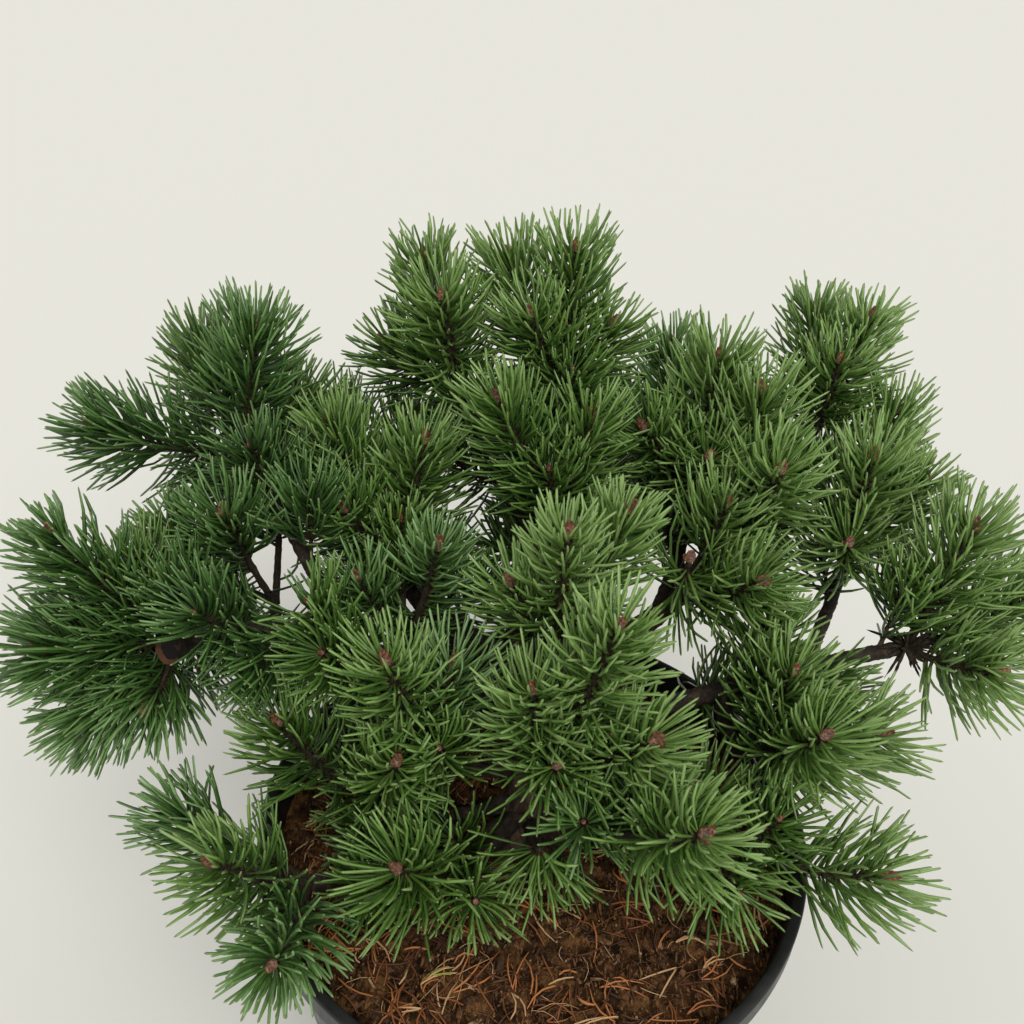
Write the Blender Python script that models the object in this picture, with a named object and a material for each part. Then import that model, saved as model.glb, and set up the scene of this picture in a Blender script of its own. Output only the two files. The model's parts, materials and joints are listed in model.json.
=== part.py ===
"""A mugo pine growing in its round nursery pot.

Frame: metres, +Z up, origin at the middle of the pot's flat underside. -Y is the front, where
the crown opens and the soil shows.

Every limb is a curve that tapers with the number of shoots it carries. A bough ends at a hub,
and the mass of foliage there forks from one stem into shoots that turn up to the light.
Needles stand out of a shoot's core all round. A needle keeps to the space nearest to its own
shoot: one that would leave it, or touch a limb, the soil or the pot, is shortened or left off.
"""

import random
from collections import namedtuple
from math import cos, exp, hypot, radians, sin, tau

import bmesh
import bpy
import numpy as np
from mathutils import Matrix, Vector

MM = 0.001
UP = Vector((0, 0, 1))
GAP = 0.3 * MM

# The pot: a thin moulded container with a stepped rim and drain holes
POT_HEIGHT = 210 * MM
RIM_RADIUS = 130 * MM
FOOT_RADIUS = 104 * MM
RIM_DEPTH = 14 * MM
RIM_STEP = 3 * MM
WALL = 2.2 * MM
EDGE = 2 * MM
POT_SIDES = 40
DRAIN_HOLES = 6
DRAIN_RADIUS = 6 * MM
DRAIN_CIRCLE = 78 * MM
DRAIN_SIDES = 12
DRAIN_CUT = 9 * MM
SHARP_ANGLE = radians(40)

# The soil, level round the trunk and lumpy beyond it, and where its rings and lumps lie
SOIL_TOP = 192 * MM
SOIL_LUMP = 2 * MM
SOIL_RINGS = (1, 0.84, 0.66, 0.48, 0.3)
LUMPS_FROM = 0.31
LUMPS_TO = 0.95

# The limbs: a shoot's wood, and how wood thickens where more shoots are carried
TWIG_RADIUS = 1.8 * MM
THICKENING = 1 / 2.3
THINNEST_TIP = 3.4 * MM
TRUNK_LEAN = Vector((-10 * MM, 40 * MM, 100 * MM))
TRUNK_BEND = Vector((-3 * MM, 4 * MM, 52 * MM))
TRUNK_SIDES = 15
TRUNK_RINGS = 11
RINGS_TO_FOOT = 1.5
FLARE = 0.55
FLARE_HEIGHT = 14 * MM
ROOT_LOBES = 5
LOBE = 0.22
BOUGH_SIDES = 8
BOUGH_RINGS = 6
HEADING_SHARE = 0.45
WOOD_POINTS = 16
MEETING = 2 * MM

# The shoots and needles
STEM_LENGTH = 9 * MM
HUB_DEPTH = 6 * MM
CORE_RADIUS = 3.4 * MM
CORE_TIP_RADIUS = 2.8 * MM
CORE_SIDES = 5
CORE_TWIST = radians(23)
BUD_LENGTH = 8 * MM
BARE_FOOT = 12 * MM
NEEDLE_STEP = 10 * MM
NEEDLE_LENGTH = 38 * MM
NEEDLE_SPREAD = 0.12
LEAN_AT_FOOT = 75
LEAN_AT_TIP = 42
TURN_TO_LIGHT = 0.7
SHORTENED = (1.0, 0.8, 0.6)
FOLIAGE_STEP = 4 * MM

# How clear a needle stays of the shoots of its own mass, of other masses and of the limbs
OWN_MARGIN = 1 * MM
OTHER_MARGIN = 3 * MM
LIMB_MARGIN = 3 * MM
SOIL_MARGIN = 6 * MM
RIM_MARGIN = 5 * MM

Curve = namedtuple("Curve", "start bend tip")
Mass = namedtuple("Mass", "name parent at bearing reach rise climb leader splay sides")

# Each mass grows from a hub: bearing in degrees from +X, reach and rise in millimetres from the
# foot of the trunk. Its bough leaves the parent limb at a share of that limb's length and
# arrives climbing by so many degrees. The leader is the length of the shoot straight on, and
# the side shoots splay from it, each with a turn round it in degrees and a length.
MASSES = (
    Mass("crown_back", "trunk", 1.0, 87, 160, 150, 65, 75, 40, ((240, 80), (320, 50), (115, 45))),
    Mass("right_far", "trunk", 0.5, 17, 180, 85, 5, 75, 55, ((340, 65), (95, 45))),
    Mass("left_far", "trunk", 0.6, 167, 170, 90, -30, 65, 65,
         ((5, 75), (230, 35), (145, 55), (40, 45))),
    Mass("left_back", "left_far", 0.45, 139, 200, 130, 10, 75, 65, ((20, 65), (260, 80), (110, 55))),
    Mass("left_upper", "left_far", 0.75, 150, 155, 70, 35, 80, 65, ((340, 65), (275, 70))),
    Mass("low_left", "trunk", 0.18, -153, 105, 27, 34, 52, 59, ((260, 60),)),
    Mass("low_front", "trunk", 0.24, -135, 50, 20, 40, 45, 50, ()),
    Mass("front_left", "trunk", 0.26, -178, 74, 22, 49, 68, 65, ((331, 58),)),
    Mass("front_mid", "trunk", 0.42, -179, 47, 60, 69, 58, 47, ((24, 42),)),
    Mass("front_drop", "trunk", 0.14, -89, 22, 29, 39, 35, 45, ()),
    Mass("crown_left", "crown_back", 0.4, 104, 180, 140, 50, 75, 50, ((340, 65), (230, 50))),
    Mass("upper_left", "trunk", 0.84, 127, 120, 85, 45, 80, 50, ((30, 70), (310, 50), (130, 50))),
    Mass("centre_left", "upper_left", 0.35, 139, 83, 66, 61, 51, 49, ((5, 63), (60, 65))),
    Mass("centre_top", "crown_back", 0.2, 84, 105, 115, 60, 50, 55, ((310, 70),)),
    Mass("right_back", "trunk", 0.76, 49, 220, 125, 55, 70, 35, ((255, 75), (15, 50))),
    Mass("right_inner", "right_back", 0.6, 48, 155, 105, 60, 55, 55, ((350, 70),)),
    Mass("crown_right", "right_back", 0.35, 60, 165, 105, 80, 75, 55, ((215, 85), (15, 50), (320, 60))),
    Mass("right_mid", "right_far", 0.72, 34, 190, 85, 85, 65, 50, ((140, 60), (5, 40), (180, 90))),
    Mass("centre_right", "right_back", 0.24, 50, 103, 84, 65, 57, 54, ((96, 62), (46, 58))),
    Mass("front_right", "right_far", 0.5, 10, 100, 47, 43, 59, 41, ((340, 54),)),
    Mass("low_right", "trunk", 0.22, -17, 105, 35, -5, 50, 50, ()),
    Mass("front_low", "trunk", 0.34, -46, 50, 55, 35, 55, 50, ()),
    Mass("front_centre", "trunk", 0.5, -84, 3, 56, 42, 35, 40, ((332, 98), (15, 60), (269, 68))),
    Mass("centre_mid", "trunk", 0.6, 77, 25, 97, 86, 64, 45, ((308, 39), (189, 72))),
    Mass("back_left", "trunk", 0.88, 120, 180, 75, 30, 65, 55, ((60, 60), (180, 55), (285, 50))),
    Mass("back_middle", "trunk", 0.94, 90, 180, 85, 30, 65, 55, ((70, 60), (180, 55), (290, 60))),
    Mass("back_right", "right_back", 0.45, 68, 215, 75, 30, 65, 55, ((60, 60), (180, 55), (290, 60))),
)
TRUNK = Curve(UP * (SOIL_TOP + GAP), UP * (SOIL_TOP + GAP) + TRUNK_BEND, UP * SOIL_TOP + TRUNK_LEAN)


def point_on(curve, t):
    """The point at a share t of a curve."""
    near, far = curve.start.lerp(curve.bend, t), curve.bend.lerp(curve.tip, t)
    return near.lerp(far, t)


def heading_on(curve, t):
    """The direction in which a curve runs at a share t of it."""
    near, far = curve.start.lerp(curve.bend, t), curve.bend.lerp(curve.tip, t)
    return (far - near).normalized()


def hub_of(mass):
    """Where the mass's bough ends."""
    bearing = radians(mass.bearing)
    out = Vector((cos(bearing), sin(bearing), 0)) * mass.reach * MM
    return out + UP * (SOIL_TOP + mass.rise * MM)


def bough_of(mass, parent_curve):
    """The bough's curve, from the middle of its parent to its hub."""
    start, hub = point_on(parent_curve, mass.at), hub_of(mass)
    level = Vector((hub.x - start.x, hub.y - start.y, 0)).normalized()
    climb = radians(mass.climb)
    heading = level * cos(climb) + UP * sin(climb)
    return Curve(start, hub - heading * (hub - start).length * HEADING_SHARE, hub)


def shoot_curve(hub, heading, length):
    """A shoot sets out along its heading and turns up towards the light."""
    later = (heading + UP * TURN_TO_LIGHT).normalized()
    bend = hub + heading * length / 2
    return Curve(hub, bend, bend + later * length / 2)


def shoots_of(mass, bough):
    """The curves of a mass's leader and side shoots, with their lengths."""
    heading = heading_on(bough, 1)
    across = heading.cross(UP).normalized()
    above = across.cross(heading)
    hub = bough.tip + heading * HUB_DEPTH
    shoots = [(shoot_curve(hub, heading, mass.leader * MM), mass.leader * MM)]
    splay = radians(mass.splay)
    for turn, length in mass.sides:
        outward = across * sin(radians(turn)) + above * cos(radians(turn))
        side = heading * cos(splay) + outward * sin(splay)
        shoots.append((shoot_curve(hub, side, length * MM), length * MM))
    return shoots


def shoots_carried(name):
    """How many shoots the limb called name feeds, its branches included."""
    own = sum(1 + len(mass.sides) for mass in MASSES if mass.name == name)
    return own + sum(shoots_carried(mass.name) for mass in MASSES if mass.parent == name)


def wood_radius(shoots):
    return max(TWIG_RADIUS * shoots**THICKENING, THINNEST_TIP)


def trunk_radius(t):
    """The trunk's taper, from the wood that feeds every shoot to its last bough's."""
    foot, top = wood_radius(shoots_carried("trunk")), wood_radius(shoots_carried("crown_back"))
    return foot + (top - foot) * t


def bough_radius(mass, t):
    foot, tip = wood_radius(shoots_carried(mass.name)), wood_radius(1 + len(mass.sides))
    return foot + (tip - foot) * t


def finish(name, colour, roughness):
    """A plain Principled material."""
    material = bpy.data.materials.new(name)
    material.use_nodes = True
    shader = material.node_tree.nodes["Principled BSDF"]
    shader.inputs["Base Color"].default_value = (*colour, 1)
    shader.inputs["Roughness"].default_value = roughness
    return material


def make_object(name, bm, material, origin=Vector(), parent=None, smooth=True):
    """An object from a bmesh in world places, with its own origin, under its parent."""
    bmesh.ops.recalc_face_normals(bm, faces=bm.faces)
    bmesh.ops.translate(bm, verts=bm.verts, vec=-origin)
    mesh = bpy.data.meshes.new(name)
    bm.to_mesh(mesh)
    bm.free()
    if smooth:
        mesh.shade_smooth()
        mesh.set_sharp_from_angle(angle=SHARP_ANGLE)
    mesh.materials.append(material)
    made = bpy.data.objects.new(name, mesh)
    bpy.context.scene.collection.objects.link(made)
    made.location = origin
    if parent:
        made.parent = parent
        made.location = origin - parent.matrix_world.translation
    bpy.context.view_layer.update()
    return made


def as_cutter(cutter):
    cutter.hide_render = True
    cutter.display_type = "WIRE"
    return cutter


def tube(curve, shares, radii, sides, twist=0.0):
    """A closed tube along a curve. It returns the bmesh, its rings of vertices from foot to tip,
    the faces of each band between two rings, and the cap at the tip."""
    bm = bmesh.new()
    rings, loops, turn, before = [], [], None, UP
    for index, (share, radius) in enumerate(zip(shares, radii)):
        heading = heading_on(curve, share)
        bend = before.rotation_difference(heading)
        turn = bend @ turn if turn else bend
        before = heading
        place = Matrix.Translation(point_on(curve, share)) @ turn.to_matrix().to_4x4()
        place = place @ Matrix.Rotation(twist * index, 4, "Z")
        ring = bmesh.ops.create_circle(bm, segments=sides, radius=radius, matrix=place)["verts"]
        rings.append(ring)
        loops.append([bm.edges.get((ring[i - 1], ring[i])) for i in range(sides)])
    bands = []
    for lower, upper in zip(loops, loops[1:]):
        bands.append(bmesh.ops.bridge_loops(bm, edges=lower + upper)["faces"])
    bm.faces.new(rings[0])
    cap = bm.faces.new(rings[-1])
    return bm, rings, bands, cap


def turned(profile, steps):
    """A closed turned shape from a profile that starts and ends on the Z axis."""
    bm = bmesh.new()
    verts = [bm.verts.new((radius, 0, height)) for radius, height in profile]
    edges = [bm.edges.new(pair) for pair in zip(verts, verts[1:])]
    bmesh.ops.spin(bm, geom=verts + edges, axis=UP, cent=(0, 0, 0), angle=tau, steps=steps, use_merge=True)
    bmesh.ops.remove_doubles(bm, verts=bm.verts, dist=0.01 * MM)
    return bm


def wall_radius(height):
    """The outer radius of the pot's tapered wall at a height."""
    return FOOT_RADIUS + (RIM_RADIUS - RIM_STEP - FOOT_RADIUS) * height / POT_HEIGHT


def make_pot(parent):
    under_rim = POT_HEIGHT - RIM_DEPTH
    profile = (
        (0, 0),
        (FOOT_RADIUS - EDGE, 0),
        (wall_radius(EDGE), EDGE),
        (wall_radius(under_rim), under_rim),
        (RIM_RADIUS - EDGE / 2, under_rim),
        (RIM_RADIUS, under_rim + EDGE / 2),
        (RIM_RADIUS, POT_HEIGHT - EDGE / 2),
        (RIM_RADIUS - EDGE / 2, POT_HEIGHT),
        (wall_radius(POT_HEIGHT) - WALL, POT_HEIGHT),
        (wall_radius(WALL) - WALL, WALL),
        (0, WALL),
    )
    plastic = finish("black_plastic", (0.012, 0.012, 0.013), 0.45)
    pot = make_object("pot", turned(profile, POT_SIDES), plastic, parent=parent)
    holes = bmesh.new()
    for index in range(DRAIN_HOLES):
        turn = Matrix.Rotation(tau * index / DRAIN_HOLES, 4, "Z")
        place = turn @ Matrix.Translation((DRAIN_CIRCLE, 0, 0))
        bmesh.ops.create_cone(holes, cap_ends=True, segments=DRAIN_SIDES, radius1=DRAIN_RADIUS,
                              radius2=DRAIN_RADIUS, depth=DRAIN_CUT, matrix=place)
    cutter = as_cutter(make_object("drain_cutter", holes, plastic))
    cut = pot.modifiers.new("drain holes", "BOOLEAN")
    cut.operation = "DIFFERENCE"
    cut.object = cutter


def make_soil(parent):
    """The soil fills the pot, level at the trunk and lumpy towards the wall."""
    inside = wall_radius(SOIL_TOP) - WALL - GAP
    floor = WALL + GAP
    rings = [(inside * share, SOIL_TOP) for share in SOIL_RINGS]
    profile = [(0, floor), (wall_radius(floor) - WALL - GAP, floor), *rings, (0, SOIL_TOP)]
    bm = turned(profile, POT_SIDES)
    draw = random.Random(5)
    for vert in sorted(bm.verts, key=lambda vert: (round(vert.co.x, 5), round(vert.co.y, 5))):
        share = hypot(vert.co.x, vert.co.y) / inside
        if vert.co.z > SOIL_TOP / 2 and LUMPS_FROM < share < LUMPS_TO:
            vert.co.z += draw.uniform(-SOIL_LUMP, SOIL_LUMP)
    make_object("soil", bm, finish("potting_soil", (0.055, 0.03, 0.018), 0.95), parent=parent)


def trunk_tube(grown):
    """The trunk with its root flare, all of it grown outwards by a clearance."""
    shares = [(index / (TRUNK_RINGS - 1)) ** RINGS_TO_FOOT for index in range(TRUNK_RINGS)]
    radii = [trunk_radius(share) + grown for share in shares]
    bm, rings, _, _ = tube(TRUNK, shares, radii, TRUNK_SIDES)
    for share, ring in zip(shares, rings):
        middle = point_on(TRUNK, share)
        fade = exp(-(middle.z - SOIL_TOP) / FLARE_HEIGHT)
        for index, vert in enumerate(ring):
            lobe = 1 + LOBE * cos(ROOT_LOBES * tau * index / TRUNK_SIDES)
            vert.co = middle + (vert.co - middle) * (1 + FLARE * lobe * fade)
    for vert in rings[0]:
        vert.co.z = TRUNK.start.z - grown
    return bm


def bough_tube(mass, bough, grown):
    shares = [index / (BOUGH_RINGS - 1) for index in range(BOUGH_RINGS)]
    radii = [bough_radius(mass, share) + grown for share in shares]
    return tube(bough, shares, radii, BOUGH_SIDES)[0]


def wood_points(curve, radius_at):
    """Points down the middle of a limb, each with the wood's radius there."""
    shares = [index / (WOOD_POINTS - 1) for index in range(WOOD_POINTS)]
    return np.array([(*point_on(curve, share), radius_at(share)) for share in shares])


def cut_by(limb, cutter):
    """Cut a saddle in a limb where it meets another."""
    saddle = limb.modifiers.new("saddle on " + cutter.name, "BOOLEAN")
    saddle.operation = "DIFFERENCE"
    saddle.object = cutter


def make_limbs(parent, boughs):
    """The trunk and boughs. Each bough is cut to a saddle by every limb made before it that it
    runs into, so the two meet with a hair's gap."""
    bark = finish("bark", (0.09, 0.06, 0.045), 0.9)
    limbs = {"trunk": make_object("trunk", trunk_tube(0), bark, TRUNK.start, parent)}
    cutters = {"trunk": as_cutter(make_object("trunk_cutter", trunk_tube(GAP), bark, TRUNK.start))}
    wood = {"trunk": wood_points(TRUNK, trunk_radius)}
    for mass in MASSES:
        bough = boughs[mass.name]
        name = "bough_" + mass.name
        limb = make_object(name, bough_tube(mass, bough, 0), bark, bough.start, limbs[mass.parent])
        points = wood_points(bough, lambda share: bough_radius(mass, share))
        for other, there in wood.items():
            apart = np.linalg.norm(points[:, None, :3] - there[None, :, :3], axis=2)
            if (apart < points[:, None, 3] + there[None, :, 3] + MEETING).any():
                cut_by(limb, cutters[other])
        limbs[mass.name] = limb
        cutters[mass.name] = as_cutter(
            make_object(name + "_cutter", bough_tube(mass, bough, GAP), bark, bough.start))
        wood[mass.name] = points
    return limbs, np.concatenate(list(wood.values()))


def foliage_points(shoots):
    """Points down the middle of every shoot, each with its mass's and its shoot's number."""
    points = []
    for mass_number, mass in enumerate(MASSES):
        for shoot_number, (curve, length) in enumerate(shoots[mass.name]):
            steps = round(length / FOLIAGE_STEP)
            for index in range(steps + 1):
                points.append((*point_on(curve, index / steps), mass_number, shoot_number))
    return np.array(points)


def clear_of_pot(points):
    """Whether points stay above the soil, and over or outside the pot's rim."""
    spread = np.hypot(points[:, 0], points[:, 1])
    over_soil = spread < RIM_RADIUS - 2 * RIM_MARGIN
    outside = spread > RIM_RADIUS + RIM_MARGIN
    floor = np.where(over_soil, SOIL_TOP + SOIL_MARGIN, POT_HEIGHT + RIM_MARGIN)
    return bool((outside | (points[:, 2] > floor)).all())


class Space:
    """What a needle looks at before it grows: every shoot's middle, and every limb's wood."""

    def __init__(self, foliage, wood):
        self.foliage = foliage
        self.wood = wood

    def share_free(self, mass_number, shoot_number, foot, tip):
        """The longest share of a needle that keeps to its own space, or none."""
        same_mass = self.foliage[:, 3] == mass_number
        own = same_mass & (self.foliage[:, 4] == shoot_number)
        for share in SHORTENED:
            steps = np.array([[0.25], [0.5], [0.75], [1.0]]) * share
            points = np.array(foot) + (np.array(tip) - np.array(foot)) * steps
            if not clear_of_pot(points):
                continue
            apart = np.linalg.norm(points[:, None] - self.foliage[None, :, :3], axis=2)
            to_own = apart[:, own].min(axis=1)
            siblings, others = same_mass & ~own, ~same_mass
            if siblings.any() and (to_own + OWN_MARGIN > apart[:, siblings].min(axis=1)).any():
                continue
            if (to_own + OTHER_MARGIN > apart[:, others].min(axis=1)).any():
                continue
            to_wood = np.linalg.norm(points[:, None] - self.wood[None, :, :3], axis=2) - self.wood[:, 3]
            if (to_wood < LIMB_MARGIN).any():
                continue
            return share
        return 0


def make_shoot(curve, length, mass_number, shoot_number, space, draw):
    """A shoot's core, with a needle pulled out of each of its side faces and a bud at its tip."""
    bands = max(2, round((length - BARE_FOOT) / NEEDLE_STEP))
    bare = BARE_FOOT / length
    shares = [0, *(bare + (1 - bare) * index / bands for index in range(bands + 1))]
    radii = [CORE_RADIUS + (CORE_TIP_RADIUS - CORE_RADIUS) * share for share in shares]
    bm, _, faces_of, cap = tube(curve, shares, radii, CORE_SIDES, CORE_TWIST)
    bmesh.ops.recalc_face_normals(bm, faces=bm.faces)
    for band in range(1, bands + 1):
        share = (shares[band] + shares[band + 1]) / 2
        middle, heading = point_on(curve, share), heading_on(curve, share)
        for face in faces_of[band]:
            foot = face.calc_center_median()
            outward = foot - middle
            outward = (outward - heading * outward.dot(heading)).normalized()
            lean = radians(LEAN_AT_FOOT + (LEAN_AT_TIP - LEAN_AT_FOOT) * share)
            needle = NEEDLE_LENGTH * draw.uniform(1 - NEEDLE_SPREAD, 1 + NEEDLE_SPREAD)
            reach = (heading * cos(lean) + outward * sin(lean)) * needle
            free = space.share_free(mass_number, shoot_number, foot, foot + reach)
            if free:
                point = bmesh.ops.poke(bm, faces=[face])["verts"][0]
                point.co = foot + reach * free
    bud = bmesh.ops.poke(bm, faces=[cap])["verts"][0]
    bud.co = curve.tip + heading_on(curve, 1) * BUD_LENGTH
    bmesh.ops.triangulate(bm, faces=bm.faces)
    return bm


def keep_main_body(mesh):
    """Drop the scraps and sealed hollows that crossing shoots leave beside the main body."""
    bm = bmesh.new()
    bm.from_mesh(mesh)
    bm.faces.ensure_lookup_table()
    waiting, bodies = set(range(len(bm.faces))), []
    while waiting:
        body, found = set(), [waiting.pop()]
        while found:
            index = found.pop()
            body.add(index)
            near = {face.index for edge in bm.faces[index].edges for face in edge.link_faces}
            found.extend(near & waiting)
            waiting -= near
        bodies.append(body)
    main = max(bodies, key=len)
    scraps = [face for face in bm.faces if face.index not in main]
    bmesh.ops.delete(bm, geom=scraps, context="FACES")
    bm.to_mesh(mesh)
    bm.free()


def fuse(stem, shoots):
    """Join a mass's shoots to its stem as one closed body."""
    group = bpy.data.collections.new(stem.name + "_shoots")
    for shoot in shoots:
        group.objects.link(shoot)
    union = stem.modifiers.new("union", "BOOLEAN")
    union.operation = "UNION"
    union.operand_type = "COLLECTION"
    union.collection = group
    union.solver = "MANIFOLD"
    bpy.context.view_layer.update()
    seen = stem.evaluated_get(bpy.context.evaluated_depsgraph_get())
    fused = bpy.data.meshes.new_from_object(seen)
    stem.modifiers.clear()
    stem.data = fused
    fused.name = stem.name
    keep_main_body(fused)
    for shoot in shoots:
        bpy.data.objects.remove(shoot)
    bpy.data.collections.remove(group)


def make_foliage(limbs, boughs, shoots, space):
    """Each mass of foliage: a short stem a hair beyond its bough's tip, forked into shoots."""
    green = finish("needles", (0.045, 0.12, 0.03), 0.55)
    draw = random.Random(11)
    for mass_number, mass in enumerate(MASSES):
        bough = boughs[mass.name]
        heading = heading_on(bough, 1)
        foot = bough.tip + heading * GAP
        line = Curve(foot, foot + heading * STEM_LENGTH / 2, foot + heading * STEM_LENGTH)
        radius = bough_radius(mass, 1)
        stem_bm = tube(line, (0, 1), (radius, radius), BOUGH_SIDES)[0]
        stem = make_object("needles_" + mass.name, stem_bm, green, foot, limbs[mass.name], smooth=False)
        parts = []
        for shoot_number, (curve, length) in enumerate(shoots[mass.name]):
            bm = make_shoot(curve, length, mass_number, shoot_number, space, draw)
            parts.append(make_object("shoot", bm, green, foot, smooth=False))
        fuse(stem, parts)


def main():
    for old in list(bpy.data.objects):
        bpy.data.objects.remove(old, do_unlink=True)
    plant = bpy.data.objects.new("mugo_pine", None)
    bpy.context.scene.collection.objects.link(plant)
    make_pot(plant)
    make_soil(plant)
    curves = {"trunk": TRUNK}
    for mass in MASSES:
        curves[mass.name] = bough_of(mass, curves[mass.parent])
    shoots = {mass.name: shoots_of(mass, curves[mass.name]) for mass in MASSES}
    limbs, wood = make_limbs(plant, curves)
    make_foliage(limbs, curves, shoots, Space(foliage_points(shoots), wood))


main()
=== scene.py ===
import json
import random
from collections import namedtuple
from math import cos, exp, radians, sin, tan, tau

import bmesh
import bpy
import numpy as np
from mathutils import Matrix, Vector, noise

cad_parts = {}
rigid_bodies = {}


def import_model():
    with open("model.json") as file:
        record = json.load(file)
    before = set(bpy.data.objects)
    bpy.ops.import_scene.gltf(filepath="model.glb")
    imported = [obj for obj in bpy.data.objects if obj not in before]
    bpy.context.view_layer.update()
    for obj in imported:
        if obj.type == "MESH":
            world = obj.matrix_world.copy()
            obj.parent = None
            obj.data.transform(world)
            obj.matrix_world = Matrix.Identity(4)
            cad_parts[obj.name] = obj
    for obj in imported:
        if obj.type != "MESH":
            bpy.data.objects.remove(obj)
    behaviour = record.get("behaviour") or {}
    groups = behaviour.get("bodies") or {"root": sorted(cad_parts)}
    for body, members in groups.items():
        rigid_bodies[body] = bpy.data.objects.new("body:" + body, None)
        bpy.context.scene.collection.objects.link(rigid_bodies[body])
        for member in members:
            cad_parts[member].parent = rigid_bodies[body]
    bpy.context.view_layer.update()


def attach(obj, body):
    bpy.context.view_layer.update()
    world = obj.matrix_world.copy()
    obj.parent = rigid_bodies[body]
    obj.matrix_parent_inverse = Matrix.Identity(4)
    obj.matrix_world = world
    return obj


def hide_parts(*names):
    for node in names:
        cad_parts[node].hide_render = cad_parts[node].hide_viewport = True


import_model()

MM = 0.001
UP = Vector((0, 0, 1))

# The pot and its soil
POT_HEIGHT = 210 * MM
RIM_RADIUS = 130 * MM
FOOT_RADIUS = 104 * MM
RIM_DEPTH = 14 * MM
RIM_STEP = 3 * MM
WALL = 2.2 * MM
EDGE = 2 * MM
DRAIN_HOLES = 6
DRAIN_RADIUS = 6 * MM
DRAIN_CIRCLE = 78 * MM
SOIL_TOP = 192 * MM
CRUMBS, CHIPS = 4200, 620
CRUMB_SIZES = (0.5, 0.7, 0.7, 0.9, 1.2, 1.2, 1.7, 2.3)
CHIP_WIDTHS = (0.6, 0.8, 1.0, 1.4, 2.4)
DRY_NEEDLES, DRY_WIDTH = 560, 1.2 * MM
FIBRES, FIBRE_WIDTH = 600, 0.45 * MM
# One fresh pair of needles, fallen on the soil
FRESH_AT, FRESH_TURNS, FRESH_LENGTH = (-0.047, -0.0745), (0.1, 0.4), 13 * MM

# The limbs
GAP = 0.3 * MM
TWIG_RADIUS = 1.8 * MM
THICKENING = 1 / 2.3
THINNEST_TIP = 3.4 * MM
TRUNK_LEAN = Vector((-10 * MM, 40 * MM, 100 * MM))
TRUNK_BEND = Vector((-3 * MM, 4 * MM, 52 * MM))
FLARE = 0.55
FLARE_HEIGHT = 14 * MM
ROOT_LOBES = 5
LOBE = 0.22
HEADING_SHARE = 0.45
HUB_DEPTH = 6 * MM
TURN_TO_LIGHT = 0.7
COLLAR, COLLAR_FADE = 0.3, 6 * MM
# The mass whose bough ends in a knot of bare dead spurs
KNOTTED, SPURS = "right_far", 64
# The mass that a side bough was cut off
STUBBED, STUB_END, STUB_RADIUS = "left_far", Vector((-0.1700, 0.0235, 0.2858)), 6 * MM
CUT_RING, ROT_DEPTH = 1.2 * MM, 2.5 * MM

# The needles, which stand in pairs along a shoot
NEEDLE_LENGTH = 40 * MM
NEEDLE_WIDTH = 1.8 * MM
NEEDLE_FLATNESS = 0.75
PAIRS_PER_MM = 1.5
BARE_FOOT = 8 * MM
GOLDEN_TURN = radians(137.508)
# How far they stand out from the shoot, in degrees: at its foot, and how much less at its end
LEAN, LEAN_LOST = 72, 34
# How far the two of a pair stand apart, in degrees, how much they bow and how much they curl
TWIN_SPREAD, SAG, CURL = (7, 14), (0.08, 0.65), 0.17
# How clear of the wood and of other shoots they stay
OFF_WOOD, OFF_SHOOTS = 0.8 * MM, 3.5 * MM
# Masses whose needles are shorter than the rest
SHORTER = {"centre_mid": 0.86, "centre_left": 0.84, "low_left": 0.88, "front_drop": 0.95,
           "right_back": 0.85}
# Masses whose needles stand closer than the rest
DENSER = {"left_far": 1.4, "left_back": 1.3, "left_upper": 1.4, "right_far": 1.2}
# Masses whose needles all hang, over no bud
HANGING = ("front_drop",)
# How far up a needle its sheath ends, its foot painted darker as shade ends, its end painted lighter as
# light starts and its tip starts
SHEATH_TOP, PAINTED_SHADE_BELOW, LIT_ABOVE, TIP_AT = 0.07, 0.36, 0.68, 0.96

# The buds
BUD_ROWS, BUD_SIDES = 5, 8
BUD_LENGTH = (7.4, 9.0)

# The fine shoots inside the crown, along every bough
FINE_STEP = 12 * MM
FINE_SPLAY = radians(55)
FINE_CLEAR = 11 * MM
FINE_OFF_POT = 14 * MM
FINE_LENGTH = (24, 38)
FINE_NEEDLES = 0.86
# The share of the bough where they start, and the share that carries them
FINE_FROM, FINE_SPAN = 0.33, 0.65

# The colours. The greens run from old needles in painted shade to new ones in painted light, and cooler
# turns them bluer on shoots that stand to the left.
GREENS = (
    (0.034, 0.078, 0.013),
    (0.052, 0.118, 0.018),
    (0.080, 0.170, 0.029),
    (0.124, 0.232, 0.048),
    (0.182, 0.310, 0.078),
    (0.258, 0.400, 0.130),
)
COOLER = (0.96, 1.0, 1.32)
SHEATH_KIND, TIP_KIND = 2 * len(GREENS), 2 * len(GREENS) + 1
SHEATH_COLOUR = (0.10, 0.055, 0.028)
TIP_COLOUR = (0.19, 0.25, 0.10)
FRESH_COLOUR = (0.30, 0.36, 0.05)
DRY_BROWNS = (
    (0.085, 0.030, 0.012),
    (0.26, 0.090, 0.028),
    (0.50, 0.19, 0.060),
    (0.60, 0.37, 0.18),
)
CUT_RING_COLOUR = (0.10, 0.042, 0.016)
ROTTED_COLOUR = (0.006, 0.004, 0.003)
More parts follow.
